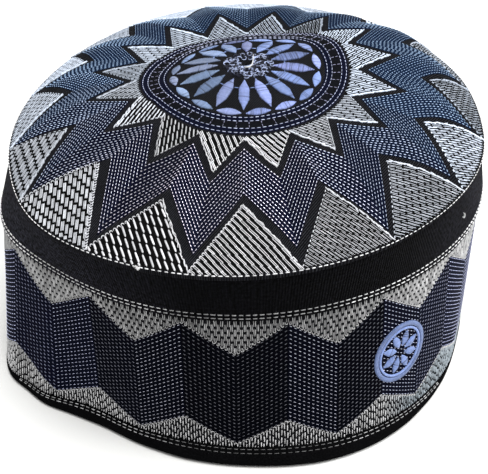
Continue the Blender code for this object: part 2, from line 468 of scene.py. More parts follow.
def threads(name, surface, runs, material, sides=3):
    """Joined threads. A run is (paths, width, height, tint), and a path is the spots one thread follows."""
    points, faces, tints, maps = [], [], [], []
    first = 0
    half_round = np.linspace(0, pi, sides)
    for paths, width, height, tint in runs:
        count, steps = paths.shape[:2]
        if not count:
            continue
        middle, normal = surface(paths)
        across = unit(np.cross(unit(np.gradient(middle, axis=1)), normal))
        swell = 0.7 + 0.3 * np.sin(pi * np.arange(1, steps - 1) / (steps - 1))
        wide, tall = (np.reshape(size, (-1, 1)) * swell * np.ones((count, 1)) for size in (width, height))
        sideways = -0.5 * np.cos(half_round) * wide[..., None]
        upward = np.sin(half_round) * (tall[..., None] + SINK) - SINK
        rings = (middle[:, 1:-1, None] + across[:, 1:-1, None] * sideways[..., None]
                 + normal[:, 1:-1, None] * upward[..., None])
        tips = middle[:, [0, -1]] - normal[:, [0, -1]] * SINK
        each = (steps - 2) * sides + 2
        points.append(join((rings.reshape(count, -1, 3), tips), 1).reshape(-1, 3))
        starts = first + np.arange(count) * each
        faces.append((thread_faces(steps - 2, sides) + starts[:, None, None]).reshape(-1, 3))
        first += count * each
        tints.append(np.repeat(np.broadcast_to(tint, (count, 3)), each, 0))
        length = np.cumsum(np.linalg.norm(np.diff(middle, axis=1), axis=-1), 1)
        run = np.repeat(length[:, :-1], sides, 1)
        place = join((run, np.zeros((count, 1)), length[:, -1:]), 1)
        turn = np.append(np.tile(np.arange(sides) / sides, steps - 2), (0.5, 0.5))
        maps.append(np.stack((place, np.broadcast_to(turn, place.shape)), -1).reshape(-1, 2))
    piece = mesh_object(name, points, faces, material, maps, tints)


def straight(starts, ends, steps=4, taper=0.14):
    """Paths from starts to ends, with their first and last rings close to the tips."""
    places = join(((0,), np.linspace(taper, 1 - taper, steps - 2), (1,)))
    starts, ends = np.asarray(starts, float), np.asarray(ends, float)
    return starts[:, None] + (ends - starts)[:, None] * places[:, None]


def vary(tint, count, amount):
    """The same colour for many threads, a little lighter or darker from one to the next."""
    return tint * (1 + amount * uniform(-1, 1, (count, 1)))


def loops(spots, opening, size, width, tint):
    """Small open rings of thread, each with its opening at an angle on the surface."""
    count = len(spots)
    size = size * uniform(0.8, 1.2, (count, 1, 1))
    turn = np.reshape(opening, (-1, 1)) + uniform(-0.4, 0.4, (count, 1))
    ring = heading(turn + np.linspace(0.6, 5.7, 8)) * size
    return spots[:, None] + ring, width, 0.42, vary(tint, count, 0.2)


def spaced(start, end, count):
    """Evenly spaced spots on a line."""
    return start + (end - start) * ((np.arange(count) + 0.5) / count)[:, None]


# Materials

def connect(tree, item, inputs):
    """Sets a node's inputs, by name or number, to plain values or other nodes' outputs."""
    for name, value in dict(inputs).items():
        if isinstance(value, bpy.types.NodeSocket):
            tree.links.new(value, item.inputs[name])
        else:
            item.inputs[name].default_value = value


def node(tree, kind, output, inputs=(), **settings):
    """One output of a new node."""
    item = tree.nodes.new("ShaderNode" + kind)
    for name, value in settings.items():
        setattr(item, name, value)
    connect(tree, item, inputs)
    return item.outputs[output]


def new_material(name, specular, roughness=0.9):
    material = bpy.data.materials.new(name)
    material.use_nodes = True
    tree = material.node_tree
    shader = tree.nodes["Principled BSDF"]
    connect(tree, shader, {"Specular IOR Level": specular, "Roughness": roughness})
    return material, tree, shader


def noise(tree, scale, detail, place):
    return node(tree, "TexNoise", "Fac", {"Scale": scale, "Detail": detail, "Vector": place})


def remap(tree, value, low, high, start=0.25, end=0.75):
    return node(tree, "MapRange", "Result",
                {"Value": value, "From Min": start, "From Max": end, "To Min": low, "To Max": high})


def calculate(tree, operation, *values):
    return node(tree, "Math", 0, enumerate(values), operation=operation)


def product(tree, *values):
    return reduce(partial(calculate, tree, "MULTIPLY"), values)


def scaled_colour(tree, colour, factor):
    return node(tree, "VectorMath", 0, {0: colour, "Scale": factor}, operation="SCALE")


def bump(tree, height, distance, strength=1):
    return node(tree, "Bump", "Normal", {"Height": height, "Distance": distance * MM, "Strength": strength})


def flat_map(tree):
    """The piece's flat coordinates, in millimetres, and each of the two on its own."""
    uv = node(tree, "UVMap", "UV", uv_map="cloth")
    return uv, node(tree, "SeparateXYZ", "X", {0: uv}), node(tree, "SeparateXYZ", "Y", {0: uv})


def ribs(tree, place, pitch):
    """Rounded ribs across a coordinate, from 0 to 1."""
    wave = calculate(tree, "SINE", product(tree, place, tau / pitch))
    return calculate(tree, "MULTIPLY_ADD", wave, 0.5, 0.5)


def cloth_material(name, colour, pitch, slant, fuzz, contrast, depth=0.05, felt=(0.55, 1.45), grain=1.6,
                   painted_side_light=1):
    """Woven cloth: ribs at a slant over a finer cross rib, with slow changes of shade and some felt and lint.

    felt is the shade of its darkest and lightest lumps, and the last argument how much lighter the cloth is
    painted past the cap's front: painted sheen where it faces the side lights.
    """
    material, tree, shader = new_material(name, 0.02)
    uv, across, along = flat_map(tree)
    twill = ribs(tree, calculate(tree, "MULTIPLY_ADD", along, slant, across), pitch)
    cross = ribs(tree, along, pitch * 0.7)
    weave = calculate(tree, "MULTIPLY_ADD", cross, 0.25, calculate(tree, "POWER", twill, 1.5))
    lint = noise(tree, grain, 6, uv)
    shade = product(tree, remap(tree, weave, 1 - 0.5 * contrast, 1 + contrast, 0.1, 1.2),
                    remap(tree, noise(tree, 0.09, 3, uv), 0.75, 1.3), remap(tree, lint, *felt, 0.38, 0.66))
    # Painted light: the cloth is painted lighter towards the cap's sides, standing in for sheen where it
    # faces the side lights.
    if painted_side_light != 1:
        aside = calculate(tree, "ABSOLUTE", calculate(tree, "SUBTRACT", across, 20))
        shade = product(tree, shade, remap(tree, aside, 1, painted_side_light, 40, 117))
    connect(tree, shader, {
        "Base Color": scaled_colour(tree, colour, shade),
        "Normal": bump(tree, calculate(tree, "MULTIPLY_ADD", lint, 1.5, weave), depth),
        "Sheen Weight": fuzz,
        "Sheen Roughness": 0.3,
    })
    return material


def thread_material(name, roughness, gloss, ply=0.7):
    """Embroidery thread: each thread's tint, which for many threads holds painted light, the slant of its
    plies and some uneven wear.
    """
    material, tree, shader = new_material(name, gloss)
    length, turn = flat_map(tree)[1:]
    plies = ribs(tree, calculate(tree, "MULTIPLY_ADD", turn, ply, length), ply)
    wear = noise(tree, 900, 2, node(tree, "TexCoord", "Object"))
    shade = product(tree, remap(tree, plies, 0.86, 1.06, 0, 1), remap(tree, wear, 0.84, 1.12))
    connect(tree, shader, {
        "Base Color": scaled_colour(tree, node(tree, "Attribute", "Color", attribute_name="tint"), shade),
        "Normal": bump(tree, plies, 0.03, 0.8),
        "Roughness": remap(tree, wear, roughness - 0.05, roughness + 0.08),
    })
    return material


def fill_material(name):
    """Dark ground of close-laid navy thread, with each facet's tint, which for most facets holds painted
    light and painted shade.
    """
    material, tree, shader = new_material(name, 0.015, 0.7)
    grain = noise(tree, 1600, 4, node(tree, "TexCoord", "Object"))
    shade = remap(tree, grain, 0.55, 1.5, 0.3, 0.72)
    connect(tree, shader, {
        "Base Color": scaled_colour(tree, node(tree, "Attribute", "Color", attribute_name="tint"), shade),
        "Normal": bump(tree, grain, 0.05),
    })
    return material


BLACK_TWILL = cloth_material("black_twill", (0.0056, 0.0057, 0.0068), 0.85, -0.7, 0, 1.8)
# The band's last value paints it up to nine times lighter towards the cap's sides, as painted sheen.
BRUSHED_BLACK = cloth_material("brushed_black", (0.0009, 0.0009, 0.0013), 1, 0, 0.012, 0.5, 0.3,
                               (0.02, 3.156), 0.8, 9)
BINDING_BLACK = cloth_material("binding_black", (0.0018, 0.0018, 0.0021), 0.5, 0.5, 0.002, 0.5)
SILVER_THREAD = thread_material("silver_thread", 0.42, 0.3)
BLUE_THREAD = thread_material("blue_thread", 0.45, 0.25)
SATIN_THREAD = thread_material("satin_thread", 0.34, 0.3, 0.5)
NAVY_FILL = fill_material("navy_fill")


# Cloth

def soft_waves(azimuth, height, amount):
    """Slow unevenness of stretched cloth."""
    turn = np.radians(azimuth)
    slow, quick = np.sin(5 * turn + 0.07 * height), np.sin(23 * turn + 0.11 * height)
    return amount * (0.5 * slow + 0.3 * np.sin(11 * turn + 1.3 - 0.05 * height) + 0.2 * quick)


def crown_cloth():
    """Domed top panel, its edge turned under, with a plain inner face."""
    outer = join((np.linspace(0.005, 0.3, 12), np.linspace(0.32, 0.96, 34), (0.975, 0.99, 1)))
    spots = polar(AZIMUTHS, outer[:, None] * around(SEAM, AZIMUTHS))
    face, normal = on_crown(spots)
    edge, upward = face[-1], normal[-1]
    outward = raised(polar(AZIMUTHS, 1), 0)
    along = np.cross(upward, np.cross(outward, upward))
    middle = edge - upward * CROWN_THICKNESS / 2
    turned = [middle + upward * cos(turn) * CROWN_THICKNESS / 2 + along * sin(turn) * 0.45
              for turn in ROUNDING]
    rings = join((face, turned, (face - normal * CROWN_THICKNESS)[::-3]))
    flat = join((spots, np.repeat(spots[-1:], len(turned), 0), spots[::-3]))
    return shell("crown_cloth", rings, BLACK_TWILL, flat)


def side_shell(name, heights, offset, thickness, material, wave):
    """Cloth that goes up the outside, over its top edge and down the inside, with both edges rounded."""
    low, high = heights[0], heights[-1]
    reach = thickness / 2
    middle = offset - reach
    # How far out each ring stands, its height and its flat height
    profile = [(offset, height, height) for height in heights]
    profile += [(middle + reach * cos(turn), high + 0.2 * sin(turn), high) for turn in ROUNDING]
    profile += [(offset - thickness, height, height) for height in np.linspace(high, low, 6)]
    profile += [(middle - reach * cos(turn), low - 0.2 * sin(turn), low) for turn in ROUNDING]
    out, height, flat = np.array(profile).T[:, :, None]
    radius = wall_radius(AZIMUTHS, height) + out + soft_waves(AZIMUTHS, height, wave)
    rings = raised(polar(AZIMUTHS, radius), height)
    return shell(name, rings, material, side_spots(AZIMUTHS, flat), 360 * ARC)


def binding_cloth():
    """Rolled binding round the rim: a soft U in section that lies flat on the ground."""
    outer = GAP + BINDING_THICKNESS
    middle = -WALL_THICKNESS / 2
    # How far out each ring stands, its height and its share of the belly
    heights = np.linspace(HEM_HEIGHT, HEM_CORNER + 0.1, 8)
    profile = [(binding_reach(height), height, 1) for height in heights]
    for turn in np.radians(np.linspace(18, 90, 5)):
        out = outer + 0.15 * cos(turn) - HEM_CORNER * (1 - cos(turn))
        profile.append((out, HEM_CORNER * (1 - sin(turn)), cos(turn)))
    profile += [(2 * middle - out, height, 0) for out, height, share in profile[::-1]]
    for out, height, share in profile[::-1]:
        lift = BINDING_THICKNESS * (1 - height / HEM_HEIGHT)
        profile.append((middle + (out - middle) * 0.57, height + lift, 0.9 * share))
    out, height, share = np.array(profile).T[:, :, None]
    level = hem_level(AZIMUTHS, height)
    radius = wall_radius(AZIMUTHS, level) + out + share * binding_belly(AZIMUTHS, height)
    rings = raised(polar(AZIMUTHS, radius - (1 - share) * lookup(TUCKS, AZIMUTHS)), level)
    walked = np.append(0, np.cumsum(np.hypot(np.diff(out[:, 0]), np.diff(height[:, 0]))))
    flat = side_spots(AZIMUTHS, walked[:, None])
    # The profile runs down the outside, so the rings are turned round to face outward
    return shell("binding_cloth", rings[::-1], BINDING_BLACK, flat[::-1], 360 * ARC)


# Star on the crown

def star_row(row, knot):
    """Plan position of a row's corner. A whole knot is an inward peak and a half one an outward tip."""
    place = row / (STAR_ROWS - 1)
    if knot % 1 < 0.25:
        return polar(PEAK_AZIMUTH + SECTOR * knot, STAR_PEAK + STAR_DEPTH * place)
    shift, reach = TIPS.get(int(knot % 16), PLAIN_TIP)
    azimuth = TIP_AZIMUTH + SECTOR * (knot - 0.5) + shift * place
    return polar(azimuth, STAR_TIP + (reach * around(SEAM, azimuth) - STAR_TIP) * place)


def turned_away(knot):
    """How far a facet or peak is from the front, up to 1. The left keeps the front's look further round."""
    azimuth = wrapped(SECTOR * knot)
    start = 30 if azimuth < 0 else 8
    return np.clip((abs(azimuth) - start) / 70, 0, 1)


def star_light(knot):
    """How much light a facet's dashes catch: less towards the back and where they run along the light."""
    azimuth = wrapped(SECTOR * (knot + 0.25))
    along = star_row(5.5, knot + 0.5) - star_row(5.5, knot)
    lean = atan2(along[1], along[0]) - radians(125 + max(azimuth - 20, 0))
    spread = 100 if azimuth < 0 else 45
    front = 0.5 + 0.5 * cos(radians(azimuth / 2))
    return (0.3 + 0.9 * exp(-abs(azimuth) / spread)) * front * (0.45 + 0.55 * cos(lean) ** 2)


def star():
    """Navy ground of the star, and pale dashes along each row, with a bent stitch at each peak and tip."""
    # The fill and the dashes carry painted light: star_light sets each facet's painted brightness, and blue
    # is a painted cool sheen added to the fill as a facet turns away from the front, where the dashes are
    # painted colder too.
    navy, blue = np.array((0.0019, 0.0024, 0.0076)), np.array((0.003, 0.008, 0.020))
    rows = np.linspace(-0.45, STAR_ROWS - 0.55, STAR_ROWS * 4 + 1)
    place = np.linspace(0, 1, 13)[:, None]
    facets, tints, runs = [], [], []
    for knot in np.arange(0, 16, 0.5):
        light, away = star_light(knot), turned_away(knot + 0.25)
        here, there = star_row(rows, knot)[:, None], star_row(rows, knot + 0.5)[:, None]
        facets.append(here + (there - here) * place)
        tints.append(navy * (0.35 + light) + blue * away ** 2)
        starts, ends, bends = [], [], []
        for row in range(STAR_ROWS):
            before, corner, following = (star_row(row, knot + step) for step in (-0.5, 0, 0.5))
            length = np.linalg.norm(following - corner)
            count = int(round(length / 1.55))
            along, back = unit(following - corner), unit(before - corner)
            pitch = length / count
            half = 0.325 * pitch + 0.05 * uniform(-1, 1, (count - 1, 1))
            middles = corner + along * (np.arange(1, count) * pitch)[:, None]
            starts.append(middles - along * half)
            ends.append(middles + along * half)
            bends.append(corner + np.array((back * 0.7, back * 0.5, back * 0, along * 0.5, along * 0.7)))
        starts, ends = join(starts), join(ends)
        tint = 1.1 * light * np.array((1.08 - 0.37 * away, 1 + 0.03 * away, 1.17 + 0.33 * away))
        runs.append((straight(starts, ends), 0.52, 0.46, vary(tint, len(starts), 0.25)))
        runs.append((np.array(bends), 0.48, 0.46, vary(tint, len(bends), 0.1)))
    ridged_fill("star_fill", on_crown, facets, rows, tints, 0.1, 0.3)
    threads("star_dashes", on_crown, runs, BLUE_THREAD)


def silver_tint(sector, light):
    """Silver thread's colour, scaled by its area's painted light and painted colder towards the cap's sides
    and back, as a painted cool cast.
    """
    away = turned_away(sector)
    return WHITE * light * np.array((1 - 0.17 * away, 1 - 0.06 * away, 1.02 + 0.08 * away))


def brickwork(corners, direction, pitch, length):
    """Stitches in parallel lines across a flat outline. Every second line is half a stitch further on."""
    direction = unit(direction)
    across = crosswise(direction)
    levels = corners @ across
    starts, ends = [], []
    for line in range(int((levels.max() - levels.min()) / pitch) + 1):
        level = levels.min() + 0.5 * pitch + line * pitch
        places = []
        for here, there in zip(corners, np.roll(corners, -1, 0)):
            before, after = here @ across - level, there @ across - level
            if (before < 0) != (after < 0):
                places.append((here + (there - here) * before / (before - after)) @ direction)
        places.sort()
        for enter, leave in zip(places[::2], places[1::2]):
            whole = leave - enter
            if whole < LEAST_STITCH:
                continue
            cuts = np.arange(length * 0.5 * (line % 2), whole, length)
            cuts = cuts + uniform(-0.06, 0.06, len(cuts)) * length
            cuts = [0] + [spot for spot in cuts if LEAST_STITCH < spot < whole - LEAST_STITCH] + [whole]
            spots = across * level + direction * (enter + np.array(cuts))[:, None]
            starts.extend(spots[:-1])
            ends.extend(spots[1:])
    return np.array(starts), np.array(ends)


def silver_area(corners, direction, look, tint):
    """Columns of stitches across an outline, each a little aslant, so that its end goes beside the next."""
    pitch, strands, spacing, strand, length, lap = look[:-1]
    starts, ends = brickwork(corners, direction, pitch, length)
    count = len(starts)
    along = unit(ends - starts)
    across = crosswise(along)
    slant = across * uniform(0.05, 0.13, (count, 1)) * pitch * (1.1 if strands == 1 else 1)
    starts = starts - along * lap - slant
    ends = ends + along * lap + slant
    shade = vary(tint, count, 0.14)
    runs = []
    for number in range(strands):
        shift = across * ((number - (strands - 1) / 2) * spacing + uniform(-0.05, 0.05, (count, 1)))
        paths = straight(starts + shift, ends + shift, 5, 0.2 if strands == 1 else 0.1)
        runs.append((paths, strand, 0.2 + 0.25 * strand, shade * uniform(0.75, 1.15, (count, 1))))
    return runs


def rope(start, end, tint, width):
    """Overlapping stitches along a line, for the thick edge of a filled area."""
    length = np.linalg.norm(end - start)
    along = unit(end - start)
    across = crosswise(along)
    count = int(length / 0.85)
    middle = start + along * ((np.arange(count) + uniform(0.2, 0.8, count)) * length / count)[:, None]
    middle = middle + across * uniform(-0.3, 0.3, (count, 1))
    half = along * uniform(0.7, 1.2, (count, 1))
    half = half + across * uniform(-0.3, 0.3, (count, 1))
    return [(straight(middle - half, middle + half, 5, 0.1), width, 0.6, vary(tint, count, 0.15))]


def edge_loops(start, end, inward, pitch, tint):
    """Turns of thread where columns end on an edge."""
    spots = spaced(start, end, int(np.linalg.norm(end - start) / pitch))
    return [loops(spots, atan2(inward[1], inward[0]), 0.55, 0.34, tint)]


def edge_dashes(start, end, pitch, tint):
    """Running stitch along an edge."""
    middle = spaced(start, end, int(np.linalg.norm(end - start) / pitch))
    half = unit(end - start) * 0.5
    return [(straight(middle - half, middle + half), 0.45, 0.4, vary(tint, len(middle), 0.15))]


def crown_silver():
    """Silver fills outside and inside the zigzag, each laid along one of its sides, over a black sheet that
    is painted shade between the threads.
    """
    outer, inner, edges, grounds = [], [], [], []
    rows = np.linspace(0, 1, 13)
    for sector in range(16):
        turn, out = APEXES.get(sector, (0, 0))
        apex = polar(PEAK_AZIMUTH + SECTOR * sector + turn, OUTER_APEX + out)
        near, far = (TIP_AZIMUTH + SECTOR * knot + TIPS.get(knot % 16, PLAIN_TIP)[0]
                     for knot in (sector - 1, sector))
        azimuth = np.linspace(near + 0.1, far - 0.1, 15)
        arc = polar(azimuth, around(SEAM, azimuth) * 0.992)
        grounds.append(apex + (arc - apex) * rows[:, None, None])
        look = OUTER_LOOKS.get(sector, PLAIN_LOOK)
        tint = silver_tint(sector, look[-1])
        direction = arc[-1] - apex
        if sector == 15:
            direction = direction - 0.03 * crosswise(direction)
        outer += silver_area(join(([apex], arc)), direction, look, tint)
        if sector == 14:
            edges += edge_loops(apex, arc[-1], apex - arc[-1], 1.15, tint)
        else:
            edges += rope(apex, arc[-1], tint * 1.15, 0.42)
        if sector in (14, 15, 0):
            edges += edge_loops(apex, arc[0], crosswise(arc[0] - apex), 1.5, tint)
        else:
            edges += edge_dashes(apex, arc[0], 1.8, tint * 1.2)
        # Inner lobe, between two inward peaks
        tip = polar(TIP_AZIMUTH + SECTOR * sector, INNER_TIP)
        left, right = (polar(PEAK_AZIMUTH + SECTOR * knot, INNER_PEAK) for knot in (sector, sector + 1))
        base = rosette_spot(PEAK_AZIMUTH + SECTOR * (sector + np.linspace(1, 0, 15)), INNER_BASE)
        halves = np.linspace(0, 1, 8)[:, None]
        zigzag = join((left + (tip - left) * halves, (tip + (right - tip) * halves)[1:]))
        grounds.append(base[::-1] + (zigzag - base[::-1]) * rows[:, None, None])
        look = INNER_LOOKS.get(sector, PLAIN_LOOK)
        tint = silver_tint(sector + 0.5, look[-1])
        inner += silver_area(join(([left, tip, right], base)), tip - left, look, tint)
        edges += rope(left, tip, tint, 0.4)
        edges += edge_dashes(tip, right, 1.5, tint * 0.9)
    # A sheet darker than the cloth under the silver areas: painted shade in the gaps between the threads.
    dark = np.full((len(grounds), 3), 0.0022)
    ridged_fill("silver_painted_shade", on_crown, grounds, rows, dark, 0.1, 0.1)
    threads("outer_silver", on_crown, outer, SILVER_THREAD, sides=4)
    threads("inner_silver", on_crown, inner, SILVER_THREAD, sides=4)
    threads("silver_edges", on_crown, edges, SILVER_THREAD)


def seam_stitches():
    """White running stitch along the crown's edge, with a knot and its loose end at the left of the front."""
    count = 290
    middle = turns(count) + uniform(-0.08, 0.08, count)
    azimuth = middle[:, None] + DASH * uniform(0.34, 0.5, (count, 1))
    runs = [(polar(azimuth, around(SEAM, azimuth) * 0.9985), 0.34, 0.36, vary(WHITE, count, 0.25))]
    knot = polar(-20.5 + uniform(-0.4, 0.4, 6), 98.6 + uniform(-0.8, 0.4, 6))
    runs.append(loops(knot, uniform(0, tau, 6), 0.5, 0.3, WHITE * 0.7))
    threads("seam_stitches", on_crown, runs, SILVER_THREAD, sides=4)


# Rosette

def rosette_spot(azimuth, radius):
    """Spot in the rosette. Its middle stands in front of the border's middle, and the border goes out further
    at the front and, past a kink, at the left."""
    left = np.clip((32 - np.abs(np.mod(azimuth - 90, 360) - 180)) / 5, 0, 1)
    front = np.maximum(np.cos(np.radians(azimuth)), 0) ** 2
    stretch = np.maximum(left, 1.6 * front) * np.clip((radius - 30) / 7, 0, 1.2)
    spots = polar(azimuth, radius + stretch)
    spots[..., 1] -= 2.5 * (1 - np.clip((radius - 28) / 8, 0, 1)) - 0.6 * (radius > 28)
    return spots


def ring_of_dashes(radius, pitch, length, turn):
    """Dashes round a circle of the rosette, as short bent paths."""
    count = int(round(tau * radius / pitch))
    places = np.array((-1, -0.7, 0.7, 1)) * degrees(length / 2 / radius)
    return rosette_spot(turns(count, turn)[:, None] + places, radius)


def satin_leaf(centre, direction, length, width, tint, height=0.75, pitch=0.32, blunt=0.85, swell=1,
               lines=0.07):
    """Satin threads laid across a pointed leaf, from edge to edge. lines is the share of threads darkened as
    painted shade between them.
    """
    across = crosswise(direction)
    count = int(length / pitch)
    place = (np.arange(count) + 0.5) / count
    half = 0.5 * width * np.minimum(swell * np.sin(pi * place) ** blunt, 1) + 0.1
    half = half * (1 + uniform(-0.06, 0.06, count))
    middle = centre + direction * ((place - 0.5) * length)[:, None]
    reach = across * half[:, None] + direction * 0.22
    shade = vary(tint, count, 0.12)
    # Darkened threads: painted shade in the gaps between the satin threads.
    shade[uniform(size=count) < lines] *= 0.42
    paths = straight(middle - reach, middle + reach, 6, 0.06)
    return paths, pitch * 1.1, height * (0.45 + 0.55 * np.sin(pi * place)), shade


def rosette():
    """Ring of petals and leaves in pale satin inside a stitched border, round a knotted middle."""
    petals, leaves, borders = [], [], []
    for number in range(16):
        azimuth = -2 + SECTOR * number
        # Painted light on the petals: lighter on the right, dimmer towards the back, and on the left dimmer
        # and painted greyer. lilac and the sin(number * 2.1) term vary the tone from petal to petal. The
        # right's petals get more dark threads, painted shade between them.
        side = sin(radians(azimuth))
        back = 0.5 - 0.5 * cos(radians(azimuth))
        grey = max(-side, 0) * np.array((0.02, 0.02, -0.14))
        lilac = max(sin(number * 1.7 + 0.6), 0) * np.array((0.14, 0, 0))
        light = 1 + 0.1 * side - 0.15 * back + 0.22 * sin(number * 2.1)
        shade = PALE * (0.76 + grey + lilac) * light
        petals.append(satin_leaf(rosette_spot(azimuth, 17.6), polar(azimuth, 1), 14.9, 3.7 + abs(side),
                                 shade, blunt=1.15, swell=1.2, lines=0.04 + 0.24 * max(side, 0)))
        turn = 9.5 + SECTOR * number
        level = heading(radians(turn))
        leaves.append(satin_leaf(rosette_spot(turn, 26.4), level, 8.7, 3, shade * 1.15, 0.6, lines=0.15))
        tie = rosette_spot(turn, 14.5)
        tie = straight([tie - level * 0.9], [tie + level * 0.9])
        leaves.append((tie, 0.3, 0.3, vary(PALE * 0.8, 1, 0.2)))
    for radius in (29.9, 31.7, 35.3, 37):
        dashes = ring_of_dashes(radius, 1.95, 1.5, radius)
        across, along = dashes[:, 1, :1], dashes[:, 1, 1:]
        # Painted shade: the border's dashes are dimmer towards the back on the left half, and full on the
        # right and at the front.
        dim = 0.45 + 0.55 * np.clip(-across / 12 - along / 40 + 0.6, 0, 1)
        dim = np.where(across > 0, 1, dim)
        borders.append((dashes, 0.3, 0.32, vary(np.array((0.40, 0.43, 0.58)), len(dashes), 0.35) * dim))
    spokes = np.arange(48) * 7.5 + 2 + uniform(-0.3, 0.3, 48)
    for low, high in ((32, 33.3), (33.6, 34.9)):
        borders.append((straight(rosette_spot(spokes, low), rosette_spot(spokes, high), 5), 0.26, 0.3,
                        vary(np.array((0.20, 0.20, 0.30)), 48, 0.5)))
    azimuth = np.linspace(180, -180, 181)
    grounds = [rosette_spot(azimuth, np.linspace(low, high, 4)[:, None])
               for low, high in ((29.1, 32), (32, 35), (35, 37.6))]
    navy, black = (0.0020, 0.0028, 0.0090), (0.0030, 0.0033, 0.0045)
    ridged_fill("rosette_ground", on_crown, grounds, np.zeros(4), (navy, black, navy), 0.12, 0.12)
    threads("rosette_petals", on_crown, petals, SATIN_THREAD, sides=4)
    threads("rosette_leaves", on_crown, leaves, SATIN_THREAD, sides=4)
    threads("rosette_borders", on_crown, borders, BLUE_THREAD, sides=4)


def knots():
    """Loops of white and navy thread crowded round the dimple, and a loose thicker thread over them."""
    count = 270
    centre = polar(uniform(0, 360, count), 8.6 * np.sqrt(uniform(0, 1, count)))
    centre = centre[np.hypot(centre[:, 0] + 0.5, centre[:, 1] - 2.9) > 2.9] + (1.2, -2.6)
    count = len(centre)
    opening = uniform(0, tau, count)
    mix = uniform(0, 1, (count, 1))
    pale = np.array((0.36, 0.42, 0.62)) * uniform(0.5, 1.2, (count, 1))
    tint = np.where(mix > 0.62, pale, np.array((0.003, 0.004, 0.014)))
    rings = list(loops(centre, opening, 0.85, 0.25, tint))
    rings[2] = uniform(0.35, 0.65, count)
    bend = np.linspace(0, 1, 12)[:, None]
    hook = ((1 - bend) ** 3, 3 * bend * (1 - bend) ** 2, 3 * bend ** 2 * (1 - bend), bend ** 3)
    bends = np.array(((3, 6.5), (3.2, -1), (2.4, -8), (-0.9, -3.8)))
    stray = sum(share * spot for share, spot in zip(hook, bends))
    runs = [rings, (stray[None], 0.34, 1, WHITE[None] * 0.8)]
    threads("rosette_knots", on_crown, runs, BLUE_THREAD, sides=4)


# Side

def side_edge(azimuth, levels):
    """Height of a zigzag edge of the side at an azimuth."""
    turn = np.mod(np.interp(azimuth, *SIDE_PLACES) - SIDE_VALLEY, SECTOR) / SECTOR
    rising = (SIDE_PEAK - SIDE_VALLEY) / SECTOR
    share = np.where(turn < rising, turn / rising, (1 - turn) / (1 - rising))
    return levels[0] + (levels[1] - levels[0]) * share


def side_row(azimuth, row):
    top = side_edge(azimuth, SIDE_TOP) - 0.8
    bottom = side_edge(azimuth, SIDE_BOTTOM) + 0.8
    return top + (bottom - top) * row / (SIDE_ROWS - 1)


def side_facets():
    """Each facet from left to right: its left and right azimuth, how bright its stitches are and how blue.

    Facets that fall away from the front are painted bright, as painted light, and the others dim; a painted
    cool sheen makes thread bluer at the cap's sides.
    """
    for sector in range(-8, 8):
        even = SECTOR * sector + np.array((SIDE_VALLEY, SIDE_PEAK, SIDE_VALLEY + SECTOR))
        valley, peak, following = np.interp(even, SIDE_PLACES[1], SIDE_PLACES[0])
        for left, right, rising in ((valley, peak, True), (peak, following, False)):
            middle = (left + right) / 2
            spread = min(abs(middle) / 80, 1)
            light = (0.75 + 0.5 * spread) if (middle < 0) == rising else (0.2 + 0.25 * spread)
            yield left, right, light, min(max((abs(middle) - 25) / 30, 0), 1)


def wall_zigzag():
    """Navy ground of the side's zigzag, and pale dots in rows on it, one under the other in columns."""
    navy, blue_navy = np.array((0.0004, 0.0006, 0.0022)), np.array((0.0010, 0.0014, 0.0058))
    rows = np.linspace(-0.45, SIDE_ROWS - 0.55, SIDE_ROWS * 4 + 1)
    place = (np.arange(SIDE_DOTS) + 0.5) / SIDE_DOTS
    half = 0.55
    facets, tints, runs = [], [], []
    for left, right, light, blue in side_facets():
        # Just inside the facet, so that its corners keep to its own side of the edge's bend
        azimuth = np.linspace(left + 1e-4, right - 1e-4, 8)
        facets.append(side_spots(azimuth, side_row(azimuth, rows[:, None])))
        # Painted light: the fill's and the dots' tints take each facet's painted brightness and a painted
        # bluer sheen at the cap's sides.
        tints.append(navy * (0.5 + 1.2 * light) + blue_navy * blue)
        grids = np.meshgrid(left + (right - left) * place, np.arange(SIDE_ROWS))
        azimuth, row = (grid.ravel() for grid in grids)
        starts, ends = (np.stack((azimuth * ARC + step, side_row(azimuth + step / ARC, row)), 1)
                        for step in (-half, half))
        tint = np.array((0.45, 0.46 + 0.02 * blue, 0.55 + 0.15 * blue)) * light * (1 + 0.15 * blue)
        runs.append((straight(starts, ends, 4, 0.2), 0.76, 0.46, vary(tint, len(starts), 0.25)))
    ridged_fill("wall_fill", on_wall, facets, rows, tints, 0.08, 0.28)
    threads("wall_dots", on_wall, runs, BLUE_THREAD)


def upright_bricks(pitch, low_edge, high_edge, length, gap, spread, scatter=0):
    """Upright stitches between two edges round the side, every second column about half a stitch higher."""
    columns = int(round(360 * ARC / pitch / 32)) * 32
    azimuths = turns(columns, -180)
    edges = np.broadcast_arrays(azimuths, low_edge(azimuths), high_edge(azimuths))
    stitches = []
    for column, (azimuth, low, high) in enumerate(zip(*edges)):
        if high - low < 0.8:
            continue
        cut = high - length * 0.5 * (column % 2) - length * ceil((high - low) / length)
        cut += uniform(-0.5, 0.5) * length * scatter
        cuts = np.arange(cut, high, length)
        cuts = [low] + [spot for spot in cuts if low + 0.8 < spot < high - 0.8] + [high]
        room = gap / 2 if abs(azimuth) < 38 else gap / 4
        stitches += [(azimuth * ARC, bottom + room * (bottom > low), top - room * (top < high))
                     for bottom, top in zip(cuts[:-1], cuts[1:])]
    place, bottom, top = np.array(stitches).T
    return [np.stack((place + uniform(-spread, spread, len(place)), height), 1)
            for height in (bottom, top)]


